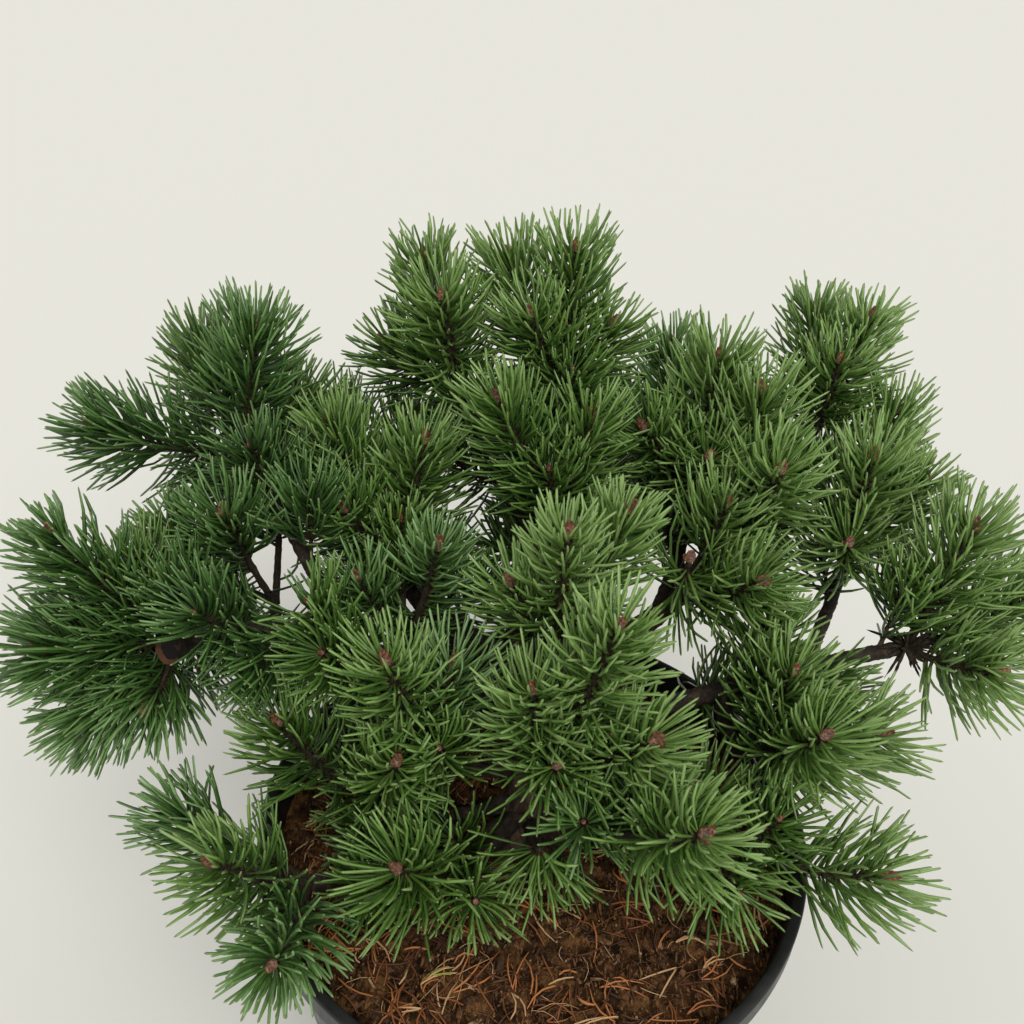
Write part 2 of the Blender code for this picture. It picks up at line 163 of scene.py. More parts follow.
# Each bark's dark, middle and pale brown, and its flakes to the metre
BARKS = {
    "trunk_bark": ((0.016, 0.010, 0.007), (0.062, 0.038, 0.024), (0.17, 0.11, 0.075), 150),
    "bough_bark": ((0.008, 0.005, 0.004), (0.026, 0.016, 0.011), (0.085, 0.055, 0.036), 260),
    # Twig bark: real dark olive-brown bark, darkened further as painted shade so the stems read as shade
    # among the needles
    "twig_bark_and_shade": ((0.010, 0.008, 0.004), (0.030, 0.021, 0.010), (0.07, 0.046, 0.022), 420),
    "chip_dark": ((0.02, 0.010, 0.006), (0.05, 0.024, 0.012), (0.10, 0.05, 0.026), 300),
    "chip_brown": ((0.06, 0.026, 0.010), (0.14, 0.063, 0.026), (0.24, 0.12, 0.050), 300),
    "chip_tan": ((0.20, 0.11, 0.05), (0.38, 0.24, 0.13), (0.58, 0.41, 0.25), 300),
}

# The camera, where the photograph's was
CAMERA_AT = Vector((-0.015, -0.320, 0.627))
CAMERA_DIP = radians(36.5)
CAMERA_ROLL = radians(2)
CAMERA_ANGLE = radians(52)
FRAME = 1024
# Where daylight shows through the crown from the front: across, down and half width in the frame
OPENINGS = ((267, 573, 28), (286, 597, 17), (285, 554, 18), (415, 598, 15), (688, 561, 17),
            (660, 592, 15), (703, 632, 10), (862, 618, 24), (914, 652, 15), (232, 805, 15),
            (70, 505, 15), (105, 508, 18), (142, 478, 15))
# Where the soil, or the cut stub, shows through it
HOLLOWS = ((292, 808, 17), (306, 852, 17), (462, 792, 12), (604, 872, 15), (172, 650, 13))
OPENING_STEPS, OPENING_EDGE = np.linspace(0.04, 1.0, 14), (0.5, 1.15)

# The studio
FLOOR_COLOUR = (0.72, 0.72, 0.688)
SKY_COLOUR, SKY_STRENGTH = (1.0, 0.99, 0.95), 0.75
SUN_COLOUR, SUN_STRENGTH, SUN_WIDTH = (1.0, 0.98, 0.92), 1.5, radians(40)
SUN_FROM = Vector((0.30, -0.75, 0.95))

Curve = namedtuple("Curve", "start bend tip")
Mass = namedtuple("Mass", "name parent at bearing reach rise climb leader splay sides")
Shoot = namedtuple("Shoot", "mass curve length fine late", defaults=(False,))

# Each mass grows from a hub: bearing in degrees from +X, reach and rise in millimetres from the
# foot of the trunk. Its bough leaves the parent limb at a share of that limb's length and
# arrives climbing by so many degrees. The leader is the length of the shoot straight on, and
# the side shoots splay from it, each with a turn round it in degrees and a length.
MASSES = (
    Mass("crown_back", "trunk", 1.0, 87, 160, 150, 65, 75, 40, ((240, 80), (320, 50), (115, 45))),
    Mass("right_far", "trunk", 0.5, 17, 180, 85, 5, 75, 55, ((340, 65), (95, 45))),
    Mass("left_far", "trunk", 0.6, 167, 170, 90, -30, 65, 65,
         ((5, 75), (230, 35), (145, 55), (40, 45))),
    Mass("left_back", "left_far", 0.45, 139, 200, 130, 10, 75, 65, ((20, 65), (260, 80), (110, 55))),
    Mass("left_upper", "left_far", 0.75, 150, 155, 70, 35, 80, 65, ((340, 65), (275, 70))),
    Mass("low_left", "trunk", 0.18, -153, 105, 27, 34, 52, 59, ((260, 60),)),
    Mass("low_front", "trunk", 0.24, -135, 50, 20, 40, 45, 50, ()),
    Mass("front_left", "trunk", 0.26, -178, 74, 22, 49, 68, 65, ((331, 58),)),
    Mass("front_mid", "trunk", 0.42, -179, 47, 60, 69, 58, 47, ((24, 42),)),
    Mass("front_drop", "trunk", 0.14, -89, 22, 29, 39, 35, 45, ()),
    Mass("crown_left", "crown_back", 0.4, 104, 180, 140, 50, 75, 50, ((340, 65), (230, 50))),
    Mass("upper_left", "trunk", 0.84, 127, 120, 85, 45, 80, 50, ((30, 70), (310, 50), (130, 50))),
    Mass("centre_left", "upper_left", 0.35, 139, 83, 66, 61, 51, 49, ((5, 63), (60, 65))),
    Mass("centre_top", "crown_back", 0.2, 84, 105, 115, 60, 50, 55, ((310, 70),)),
    Mass("right_back", "trunk", 0.76, 49, 220, 125, 55, 70, 35, ((255, 75), (15, 50))),
    Mass("right_inner", "right_back", 0.6, 48, 155, 105, 60, 55, 55, ((350, 70),)),
    Mass("crown_right", "right_back", 0.35, 60, 165, 105, 80, 75, 55, ((215, 85), (15, 50), (320, 60))),
    Mass("right_mid", "right_far", 0.72, 34, 190, 85, 85, 65, 50, ((140, 60), (5, 40), (180, 90))),
    Mass("centre_right", "right_back", 0.24, 50, 103, 84, 65, 57, 54, ((96, 62), (46, 58))),
    Mass("front_right", "right_far", 0.5, 10, 100, 47, 43, 59, 41, ((340, 54),)),
    Mass("low_right", "trunk", 0.22, -17, 105, 35, -5, 50, 50, ()),
    Mass("front_low", "trunk", 0.34, -46, 50, 55, 35, 55, 50, ()),
    Mass("front_centre", "trunk", 0.5, -84, 3, 56, 42, 35, 40, ((332, 98), (15, 60), (269, 68))),
    Mass("centre_mid", "trunk", 0.6, 77, 25, 97, 86, 64, 45, ((308, 39), (189, 72))),
    Mass("back_left", "trunk", 0.88, 120, 180, 75, 30, 65, 55, ((60, 60), (180, 55), (285, 50))),
    Mass("back_middle", "trunk", 0.94, 90, 180, 85, 30, 65, 55, ((70, 60), (180, 55), (290, 60))),
    Mass("back_right", "right_back", 0.45, 68, 215, 75, 30, 65, 55, ((60, 60), (180, 55), (290, 60))),
)
# Late shoots that fill the sides of a mass: the mass and where the shoot ends
LATE_SHOOTS = (
    ("low_left", (-0.1624, -0.0252, 0.2353)),
    ("left_far", (-0.2171, 0.0182, 0.2435)),
    ("left_far", (-0.2300, 0.0238, 0.2847)),
    ("front_right", (0.1567, 0.0088, 0.2643)),
)
LATE_SAG = 5 * MM
TRUNK = Curve(UP * (SOIL_TOP + GAP), UP * (SOIL_TOP + GAP) + TRUNK_BEND, UP * SOIL_TOP + TRUNK_LEAN)


# How the plant grows

def point_on(curve, t):
    """The point at a share t of a curve."""
    near, far = curve.start.lerp(curve.bend, t), curve.bend.lerp(curve.tip, t)
    return near.lerp(far, t)


def heading_on(curve, t):
    """The direction in which a curve runs at a share t of it."""
    near, far = curve.start.lerp(curve.bend, t), curve.bend.lerp(curve.tip, t)
    return (far - near).normalized()


def hub_of(mass):
    """Where the mass's bough ends."""
    bearing = radians(mass.bearing)
    out = Vector((cos(bearing), sin(bearing), 0)) * mass.reach * MM
    return out + UP * (SOIL_TOP + mass.rise * MM)


def bough_of(mass, parent_curve):
    """The bough's curve, from the middle of its parent to its hub."""
    start, hub = point_on(parent_curve, mass.at), hub_of(mass)
    level = Vector((hub.x - start.x, hub.y - start.y, 0)).normalized()
    climb = radians(mass.climb)
    heading = level * cos(climb) + UP * sin(climb)
    return Curve(start, hub - heading * (hub - start).length * HEADING_SHARE, hub)


def shoot_curve(hub, heading, length):
    """A shoot sets out along its heading and turns up towards the light."""
    later = (heading + UP * TURN_TO_LIGHT).normalized()
    bend = hub + heading * length / 2
    return Curve(hub, bend, bend + later * length / 2)


def shoots_of(mass, bough):
    """The mass's leader and side shoots."""
    heading = heading_on(bough, 1)
    across = heading.cross(UP).normalized()
    above = across.cross(heading)
    hub = bough.tip + heading * HUB_DEPTH
    shoots = [Shoot(mass, shoot_curve(hub, heading, mass.leader * MM), mass.leader * MM, False)]
    splay = radians(mass.splay)
    for turn, length in mass.sides:
        outward = across * sin(radians(turn)) + above * cos(radians(turn))
        side = heading * cos(splay) + outward * sin(splay)
        shoots.append(Shoot(mass, shoot_curve(hub, side, length * MM), length * MM, False))
    return shoots


def curve_length(curve):
    """The length of a curve."""
    points = [point_on(curve, step / 12) for step in range(13)]
    return sum((after - before).length for before, after in zip(points, points[1:]))


def camera_axes():
    """Which way the camera looks, and its right and its up."""
    ahead = Vector((0, cos(CAMERA_DIP), -sin(CAMERA_DIP)))
    level_up = Vector((0, sin(CAMERA_DIP), cos(CAMERA_DIP)))
    right = Vector((1, 0, 0)) * cos(CAMERA_ROLL) + level_up * sin(CAMERA_ROLL)
    return ahead, right, level_up * cos(CAMERA_ROLL) - Vector((1, 0, 0)) * sin(CAMERA_ROLL)


def in_opening(points, ragged=1.0):
    """Which points stand in one of the crown's openings, seen from the front. Ragged is how far
    each opening reaches for each point, as a share of its half width."""
    offset = np.asarray(points) - np.array(CAMERA_AT)
    depth, across, up = (offset @ np.array(axis) for axis in camera_axes())
    scale = FRAME / 2 / tan(CAMERA_ANGLE / 2) / depth
    x, y = FRAME / 2 + across * scale, FRAME / 2 - up * scale
    hidden = np.zeros(x.shape, bool)
    for middle, down, half in OPENINGS + HOLLOWS:
        hidden |= np.hypot(x - middle, y - down) < half * ragged
    return hidden


def fine_shoots(curves, shoots):
    """Short shoots that fill the crown along each bough, where there is room for them."""
    draw = random.Random(17)
    taken = [point_on(shoot.curve, step / 8) for shoot in shoots for step in range(9)]
    fine = []
    for mass in MASSES:
        curve = curves[mass.name]
        count = int(curve_length(curve) * FINE_SPAN / FINE_STEP)
        turn = draw.uniform(0, tau)
        for index in range(count):
            share = FINE_FROM + FINE_SPAN * (index + draw.uniform(0.2, 0.8)) / count
            turn += GOLDEN_TURN
            along = heading_on(curve, share)
            side = along.cross(UP).normalized()
            out = (side * cos(turn) + side.cross(along) * sin(turn) + UP * 0.4).normalized()
            heading = along * cos(FINE_SPLAY) + out * sin(FINE_SPLAY)
            length = draw.uniform(*FINE_LENGTH) * MM
            made = shoot_curve(point_on(curve, share), heading, length)
            apart = min((made.tip - place).length for place in taken)
            spread = made.tip.xy.length
            inside = spread < RIM_RADIUS - FINE_OFF_POT
            low = made.tip.z < (SOIL_TOP if inside else POT_HEIGHT) + FINE_OFF_POT
            if apart < FINE_CLEAR or low or in_opening([made.tip, made.bend]).any():
                continue
            taken += [point_on(made, step / 4) for step in range(1, 5)]
            fine.append(Shoot(mass, made, length, True))
    return fine


def late_shoots(curves):
    """The late shoots, each from its mass's hub."""
    mass_named = {mass.name: mass for mass in MASSES}
    late = []
    for name, end in LATE_SHOOTS:
        hub, tip = curves[name].tip, Vector(end)
        curve = Curve(hub, hub.lerp(tip, 0.5) - UP * LATE_SAG, tip)
        late.append(Shoot(mass_named[name], curve, curve_length(curve), False, True))
    return late


def shoots_carried(name):
    """How many shoots the limb called name feeds, its branches included."""
    own = sum(1 + len(mass.sides) for mass in MASSES if mass.name == name)
    return own + sum(shoots_carried(mass.name) for mass in MASSES if mass.parent == name)


def wood_radius(shoots):
    """How thick the wood is that feeds so many shoots."""
    return max(TWIG_RADIUS * shoots**THICKENING, THINNEST_TIP)


def trunk_radius(t):
    """The trunk's taper, from the wood that feeds every shoot to its last bough's."""
    foot, top = wood_radius(shoots_carried("trunk")), wood_radius(shoots_carried("crown_back"))
    return foot + (top - foot) * t


def bough_radius(mass, t):
    """The bough's taper, from the wood that feeds all it carries to its own mass's."""
    foot, tip = wood_radius(shoots_carried(mass.name)), wood_radius(1 + len(mass.sides))
    return foot + (tip - foot) * t


# Finishes

def new_finish(name, roughness):
    """A material, its node tree and its shader."""
    material = bpy.data.materials.new(name)
    material.use_nodes = True
    shader = material.node_tree.nodes["Principled BSDF"]
    shader.inputs["Roughness"].default_value = roughness
    return material, material.node_tree, shader


def plain_finish(name, colour, roughness):
    """A finish of one colour, for things as small as a needle."""
    material, _, shader = new_finish(name, roughness)
    shader.inputs["Base Color"].default_value = (*colour, 1)
    return material


def grain(tree, scale, detail=4.0, stretch=(1, 1, 1), distortion=0.0):
    """A noise in the piece's own coordinates, with so many lumps to the metre."""
    place = tree.nodes.new("ShaderNodeTexCoord")
    mapping = tree.nodes.new("ShaderNodeMapping")
    mapping.inputs["Scale"].default_value = stretch
    texture = tree.nodes.new("ShaderNodeTexNoise")
    texture.inputs["Scale"].default_value = scale
    texture.inputs["Detail"].default_value = detail
    texture.inputs["Distortion"].default_value = distortion
    tree.links.new(place.outputs["Object"], mapping.inputs["Vector"])
    tree.links.new(mapping.outputs["Vector"], texture.inputs["Vector"])
    return texture.outputs["Fac"]


def ramp(tree, factor, stops):
    """Colours or greys along a factor, as pairs of place and colour."""
    node = tree.nodes.new("ShaderNodeValToRGB")
    band = node.color_ramp
    while len(band.elements) < len(stops):
        band.elements.new(0.5)
    for element, (place, colour) in zip(band.elements, stops):
        element.position = place
        element.color = (*colour, 1) if isinstance(colour, tuple) else (colour, colour, colour, 1)
    tree.links.new(factor, node.inputs["Fac"])
    return node.outputs["Color"]


def mixed(tree, factor, under, over):
    """One colour over another by a factor. The one over it is the same everywhere."""
    node = tree.nodes.new("ShaderNodeMix")
    node.data_type = "RGBA"
    tree.links.new(factor, node.inputs[0])
    tree.links.new(under, node.inputs[6])
    node.inputs[7].default_value = (*over, 1)
    return node.outputs[2]


def roughen(tree, shader, height, depth, strength):
    """Bumps of a height, so many metres deep, at a share of their strength."""
    bump = tree.nodes.new("ShaderNodeBump")
    bump.inputs["Distance"].default_value = depth
    bump.inputs["Strength"].default_value = strength
    tree.links.new(height, bump.inputs["Height"])
    tree.links.new(bump.outputs["Normal"], shader.inputs["Normal"])


def black_plastic():
    """Moulded black plastic, scuffed, with a little soil dust on it."""
    material, tree, shader = new_finish("black_plastic", 0.4)
    streaks = grain(tree, 60, 5, (1, 1, 0.15), 1.5)
    dust = ramp(tree, grain(tree, 24, 6, distortion=1.0), ((0.54, 0.0), (0.80, 0.4)))
    black = ramp(tree, streaks, ((0.3, (0.006, 0.0065, 0.007)), (0.75, (0.015, 0.016, 0.017))))
    tree.links.new(mixed(tree, dust, black, (0.045, 0.039, 0.032)), shader.inputs["Base Color"])
    tree.links.new(ramp(tree, streaks, ((0.3, 0.34), (0.8, 0.55))), shader.inputs["Roughness"])
    shader.inputs["Specular IOR Level"].default_value = 0.4
    roughen(tree, shader, grain(tree, 900, 3), 0.06 * MM, 0.6)
    return material


def peat():
    """Damp crumbly peat, dark brown with near-black patches painted in as the shade of its hollows, and
    fibrous on its lumps.
    """
    material, tree, shader = new_finish("peat", 0.95)
    # Painted shade: the near-black low end of this grain stands for the shade in hollows among the
    # crumbs
    lumps = ramp(tree, grain(tree, 130, 8, distortion=0.6),
                 ((0.36, (0.010, 0.0042, 0.0012)), (0.5, (0.048, 0.021, 0.007)),
                  (0.64, (0.150, 0.070, 0.025))))
    fibres = ramp(tree, grain(tree, 420, 6, (1, 0.25, 1), 2.0), ((0.55, 0.0), (0.66, 0.9)))
    tree.links.new(mixed(tree, fibres, lumps, (0.27, 0.135, 0.055)), shader.inputs["Base Color"])
    shader.inputs["Specular IOR Level"].default_value = 0.2
    roughen(tree, shader, grain(tree, 520, 8, distortion=0.8), 1.3 * MM, 1.0)
    return material


def bark(name):
    """Bark, flaky where it is old and scarred where it is young."""
    dark, mid, pale, scale = BARKS[name]
    material, tree, shader = new_finish(name, 0.88)
    flakes = grain(tree, scale, 8, (1, 1, 0.45), 1.2)
    lichen = ramp(tree, grain(tree, scale * 0.35, 5), ((0.58, 0.0), (0.72, 0.5)))
    brown = ramp(tree, flakes, ((0.3, dark), (0.52, mid), (0.74, pale)))
    tree.links.new(mixed(tree, lichen, brown, tuple(0.5 * value + 0.03 for value in pale)),
                   shader.inputs["Base Color"])
    roughen(tree, shader, grain(tree, scale * 3, 8, (1, 1, 0.5), 0.8), 0.5 * MM, 0.9)
    return material


def bud_scales():
    """Reddish-brown bud scales under a film of resin, their pale flecks partly pale resin and partly
    painted highlight.
    """
    material, tree, shader = new_finish("bud_scales", 0.42)
    tone = grain(tree, 700, 4)
    # The pale end of this tone is partly pale resin and partly painted highlight
    tree.links.new(ramp(tree, tone, ((0.32, (0.030, 0.010, 0.005)), (0.52, (0.14, 0.047, 0.019)),
                                     (0.72, (0.40, 0.20, 0.085)))), shader.inputs["Base Color"])
    roughen(tree, shader, grain(tree, 1500, 3), 0.15 * MM, 0.7)
    return material


# Making

def added(name, data):
    """A new object in the scene."""
    thing = bpy.data.objects.new(name, data)
    bpy.context.scene.collection.objects.link(thing)
    return thing


def place_piece(name, mesh, materials, replaced=(), smooth=True):
    """A finished mesh as a piece of the plant."""
    if smooth:
        mesh.shade_smooth()
    for material in materials:
        mesh.materials.append(material)
    piece = added(name, mesh)
    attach(piece, "root")
    if replaced:
        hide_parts(*replaced)


def mesh_of(name, bm):
    """A bmesh as a mesh. The bmesh is freed."""
    mesh = bpy.data.meshes.new(name)
    bm.to_mesh(mesh)
    bm.free()
    return mesh


def joined_mesh(name, template, places, kinds):
    """One mesh of many copies of a template, each with its own corner places and face kinds."""
    loops = np.array([loop.vertex_index for loop in template.loops])
    starts = np.array([face.loop_start for face in template.polygons])
    copies, corners = places.shape[:2]
    number = np.arange(copies)[:, None]
    mesh = bpy.data.meshes.new(name)
    mesh.vertices.add(copies * corners)
    mesh.vertices.foreach_set("co", places.ravel())
    mesh.loops.add(copies * len(loops))
    mesh.loops.foreach_set("vertex_index", (loops + number * corners).ravel())
    mesh.polygons.add(copies * len(starts))
    mesh.polygons.foreach_set("loop_start", (starts + number * len(loops)).ravel())
    mesh.polygons.foreach_set("material_index", kinds.ravel())
    mesh.update(calc_edges=True)
    mesh.validate()
    return mesh


def grown_ring(bm, edges):
    """The next ring up from a ring of edges: its corners and its edges."""
    grown = bmesh.ops.extrude_edge_only(bm, edges=edges)["geom"]
    ring = [part for part in grown if isinstance(part, bmesh.types.BMVert)]
    return ring, [part for part in grown if isinstance(part, bmesh.types.BMEdge)]


def corners_of(template):
    """The corners of a template, n by 3."""
    places = np.empty(len(template.vertices) * 3)
    template.vertices.foreach_get("co", places)
    return places.reshape(-1, 3)


def needle_template():
    """A three-sided needle one unit long and one wide, which draws in to its tip."""
    bm = bmesh.new()
    bmesh.ops.create_circle(bm, segments=3, radius=0.5)
    edges = list(bm.edges)
    heights = (SHEATH_TOP, PAINTED_SHADE_BELOW, LIT_ABOVE, TIP_AT)
    for height, width in zip(heights, (0.9, 1.05, 1.0, 0.78)):
        ring, edges = grown_ring(bm, edges)
        for vert in ring:
            drawn_in = vert.co.normalized().x * 0.5 * width
            flat = Vector((drawn_in, vert.co.y, 0)).normalized() * 0.5 * width
            vert.co = (flat.x, flat.y, height)
    ring, _ = grown_ring(bm, edges)
    bmesh.ops.pointmerge(bm, verts=ring, merge_co=(0, 0, 1))
    foot = [vert for vert in bm.verts if vert.co.z < 0.01]
    bmesh.ops.scale(bm, verts=foot, vec=(0.7, 0.7, 1))
    bmesh.ops.contextual_create(bm, geom=foot)
    bmesh.ops.recalc_face_normals(bm, faces=bm.faces)
    return mesh_of("needle", bm)


def unit(vectors):
    """The vectors at length one."""
    return vectors / np.linalg.norm(vectors, axis=-1, keepdims=True)


def curve_points(start, bend, tip, shares):
    """Points on many curves at once. The places are n by 3, and the answer is n by shares by 3."""
    t = np.asarray(shares)[None, :, None]
    return start[:, None] * (1 - t) ** 2 + bend[:, None] * 2 * t * (1 - t) + tip[:, None] * t**2


def lay_needles(template, start, bend, tip, side, width):
    """Bend the template along many curves. Side is the way across each needle's flat face."""
    corners = corners_of(template)
    shares = corners[:, 2]
    middle = curve_points(start, bend, tip, shares)
    t = shares[None, :, None]
    along = unit((bend - start)[:, None] * (1 - t) + (tip - bend)[:, None] * t)
    across = side[:, None] - along * (side[:, None] * along).sum(axis=2, keepdims=True)
    across = unit(across)
    out = np.cross(along, across)
    wide = width[:, None, None]
    middle = middle + across * corners[None, :, 0:1] * wide
    return middle + out * corners[None, :, 1:2] * wide * NEEDLE_FLATNESS


def needle_kinds(template, greens):
    """The face kinds of many needles: a sheath, a foot in painted shade, an end in painted light and a
    pale tip.
    """
    heights = np.array([face.center.z for face in template.polygons])
    kinds = np.repeat(greens[:, None], len(heights), axis=1)
    tone = greens % len(GREENS)
    # Painted shade and light: the foot of each needle is one green darker, and its end one green lighter
    kinds[:, heights < PAINTED_SHADE_BELOW] -= (tone > 0)[:, None]
    kinds[:, heights > LIT_ABOVE] += (tone < len(GREENS) - 1)[:, None]
    kinds[:, heights < SHEATH_TOP] = SHEATH_KIND
    kinds[:, heights > TIP_AT] = TIP_KIND
    return kinds


def shoot_needles(shoot, draw):
    """The pairs of needles along a shoot: curves, sides and how far up the shoot each stands."""
    foot_bare = BARE_FOOT * (0.5 if shoot.fine else 1)
    pairs = int((shoot.length - foot_bare) / MM * PAIRS_PER_MM * DENSER.get(shoot.mass.name, 1.0))
    count = np.arange(pairs)
    up = ((count + 0.5) / pairs) ** 0.8
    bare = foot_bare / shoot.length
    share = bare + (1 - bare) * up
    curve = [np.array(place)[None] for place in shoot.curve]
    middle = curve_points(*curve, share)[0]
    t = share[:, None]
    along = unit((curve[1] - curve[0]) * (1 - t) + (curve[2] - curve[1]) * t)
    first = unit(np.cross(along, (0.31, 0.87, 0.38)))
    second = np.cross(along, first)
    turn = (count * GOLDEN_TURN + draw.uniform(0, tau))[:, None]
    out = first * np.cos(turn) + second * np.sin(turn)
    lean = np.radians(LEAN - LEAN_LOST * up**1.4 + draw.normal(0, 8, pairs))[:, None]
    aim = along * np.cos(lean) + out * np.sin(lean)
    if shoot.mass.name in HANGING:
        low = aim[:, 2] < 0.3
        up, out, along, aim, middle = (each[low] for each in (up, out, along, aim, middle))
        pairs = low.sum()
    tangent = np.cross(along, out)
    spin = draw.normal(0, 0.7, pairs)[:, None]
    fan = tangent * np.cos(spin) + np.cross(aim, tangent) * np.sin(spin)
    foot = middle + out * (1.6 - 0.5 * up)[:, None] * MM
    own_length = NEEDLE_LENGTH * SHORTER.get(shoot.mass.name, 1.0) * draw.uniform(0.92, 1.03)
    if shoot.fine:
        own_length *= FINE_NEEDLES
    length = own_length * (1 - 0.12 * (1 - up) - 0.30 * np.clip(up / 0.4 - 1.5, 0, 1) ** 1.5)
    length *= draw.uniform(0.9, 1.08, pairs)
    starts, bends, tips, sides = [], [], [], []
    for twin in (-1, 1):
        spread = np.radians(draw.uniform(*TWIN_SPREAD, pairs))[:, None] * twin
        ahead = unit(aim * np.cos(spread) + fan * np.sin(spread))
        own = (length * draw.uniform(0.94, 1.04, pairs))[:, None]
        sag = draw.uniform(*SAG, pairs)[:, None]
        curl = fan * draw.normal(0, CURL, pairs)[:, None]
        early = unit(ahead + out * sag - curl)
        late = unit(ahead - out * sag + curl + along * 0.12 + np.array([0, 0, 0.07]))
        bend = foot + early * own / 2
        starts.append(foot)
        bends.append(bend)
        tips.append(bend + late * own / 2)
        sides.append(np.cross(ahead, fan))
    return [np.concatenate(each) for each in (starts, bends, tips, sides, (up, up))]


def clear_share(points, wood, others):
    """Which needles stay out of the limbs, the other shoots, the soil and the pot."""
    spread = np.hypot(points[..., 0], points[..., 1])
    over_soil = spread < RIM_RADIUS - 5 * MM
    outside = spread > RIM_RADIUS + 2 * MM
    floor = np.where(over_soil, SOIL_TOP + 3 * MM, POT_HEIGHT + 1.5 * MM)
    clear = (outside | (points[..., 2] > floor)).all(axis=1)
    for place, radius in ((wood[:, :3], wood[:, 3] + OFF_WOOD), (others, OFF_SHOOTS)):
        if len(place):
            apart = np.linalg.norm(points[:, :, None] - place[None, None], axis=3)
            clear &= (apart > radius).all(axis=(1, 2))
    return clear


def light_at(place):
    """Which of the greens a shoot has, as painted light and shade: lighter to the front, the right and
    the top.
    """
    sideways = 7.5 if place.x < 0 else 2.5
    return 3.3 - place.y * 5.2 + place.x * sideways + (place.z - 0.3) * 4


def make_needles(shoots, wood):
    """One piece of needles for every mass, grown along its shoots."""
    template = needle_template()
    cooler = [tuple(value * share for value, share in zip(colour, COOLER)) for colour in GREENS]
    finishes = [plain_finish(f"needle_green_{number}", colour, 0.34)
                for number, colour in enumerate([*GREENS, *cooler])]
    finishes.append(plain_finish("needle_sheath", SHEATH_COLOUR, 0.7))
    finishes.append(plain_finish("needle_tip", TIP_COLOUR, 0.5))
    steady, spare = np.random.default_rng(21), np.random.default_rng(77)
    cores = [np.array([point_on(shoot.curve, step / 16) for step in range(17)]) for shoot in shoots]
    for mass in MASSES:
        laid, kinds = [], []
        for number, shoot in enumerate(shoots):
            if shoot.mass is not mass:
                continue
            draw = spare if shoot.late else steady
            start, bend, tip, side, up = shoot_needles(shoot, draw)
            checked = curve_points(start, bend, tip, (0.35, 0.6, 0.8, 1.0))
            others = np.concatenate([core for other, core in enumerate(cores)
                                     if other != number and not shoots[other].late])
            middle = cores[number].mean(axis=0)
            others = others[np.linalg.norm(others - middle, axis=1) < shoot.length / 2 + 50 * MM]
            near_wood = wood[np.linalg.norm(wood[:, :3] - middle, axis=1) < shoot.length / 2 + 60 * MM]
            clear = clear_share(checked, near_wood, others)
            seen = curve_points(start, bend, tip, OPENING_STEPS)
            clear &= ~in_opening(seen, draw.uniform(*OPENING_EDGE, (len(clear), 1))).any(axis=1)
            start, bend, tip, side, up = (each[clear] for each in (start, bend, tip, side, up))
            width = NEEDLE_WIDTH * draw.uniform(0.88, 1.1, len(start))
            laid.append(lay_needles(template, start, bend, tip, side, width))
            end = shoot.curve.tip
            # Painted light and shade: the greens of a shoot follow where it stands, lighter to the
            # front, the right and the top
            light = light_at(end) + draw.normal(0, 0.35)
            # Painted shade and light: a fine shoot inside the crown is dealt greens 1.1 steps darker,
            # and a shoot's needles run lighter towards its end
            shade = light - 1.1 * shoot.fine + (up - 0.5) * 1.6 + draw.normal(0, 0.75, len(up))
            cool = draw.normal(-end.x * 4, 0.5) > 0.5
            greens = np.clip(np.rint(shade), 0, len(GREENS) - 1).astype(int) + cool * len(GREENS)
            kinds.append(needle_kinds(template, greens))
        places = np.concatenate(laid)
        mesh = joined_mesh("needle_sprays_" + mass.name, template, places, np.concatenate(kinds))
        place_piece(mesh.name, mesh, finishes, ("needles_" + mass.name,))


def frames_along(curve, steps):
    """Places down a curve with a turn that never spins: matrices from foot to tip."""
    places, turn, before = [], None, UP
    for index in range(steps + 1):
        heading = heading_on(curve, index / steps)
        bend = before.rotation_difference(heading)
        turn = bend @ turn if turn else bend
        before = heading
        places.append(Matrix.Translation(point_on(curve, index / steps)) @ turn.to_matrix().to_4x4())
    return places


def rolled_limb(curve, radius_at, around, along, relief, rounded=True):
    """A limb rolled up from a flat grid, its seam merged and its two ends closed. Relief gives
    how far the bark stands out for an angle, a way up and a radius, all but the first in metres."""
    bm = bmesh.new()
    bmesh.ops.create_grid(bm, x_segments=around, y_segments=along, size=0.5)
    places, length = frames_along(curve, along), curve_length(curve)
    for vert in bm.verts:
        angle, row = (vert.co.x + 0.5) * tau, round((vert.co.y + 0.5) * along)
        share = row / along
        radius = radius_at(share)
        radius += relief(angle % tau, share * length, radius)
        last = (1 - share) * length / radius
        if rounded and last < 1:
            radius *= max(0.25, (1 - (1 - last) ** 2) ** 0.5)
        vert.co = places[row] @ Vector((radius * cos(angle), radius * sin(angle), 0))
    bmesh.ops.remove_doubles(bm, verts=bm.verts, dist=0.02 * MM)
    rim = [edge for edge in bm.edges if edge.is_boundary]
    bmesh.ops.holes_fill(bm, edges=rim, sides=0)
    bmesh.ops.recalc_face_normals(bm, faces=bm.faces)
    return bm


def old_bark(seed, depth):
    """Relief of cracked plates that run up the limb."""
    def relief(angle, height, radius):
        spot = Vector((cos(angle) * radius, sin(angle) * radius, height * 0.55 + seed))
        near, _ = noise.voronoi(spot * 210, distance_metric="DISTANCE", exponent=2.5)
        crack = min(1.0, (near[1] - near[0]) * 3.2)
        lumps = noise.fractal(spot * 120, 0.8, 2.1, 4)
        return depth * (crack - 0.75) + depth * 0.5 * lumps
    return relief


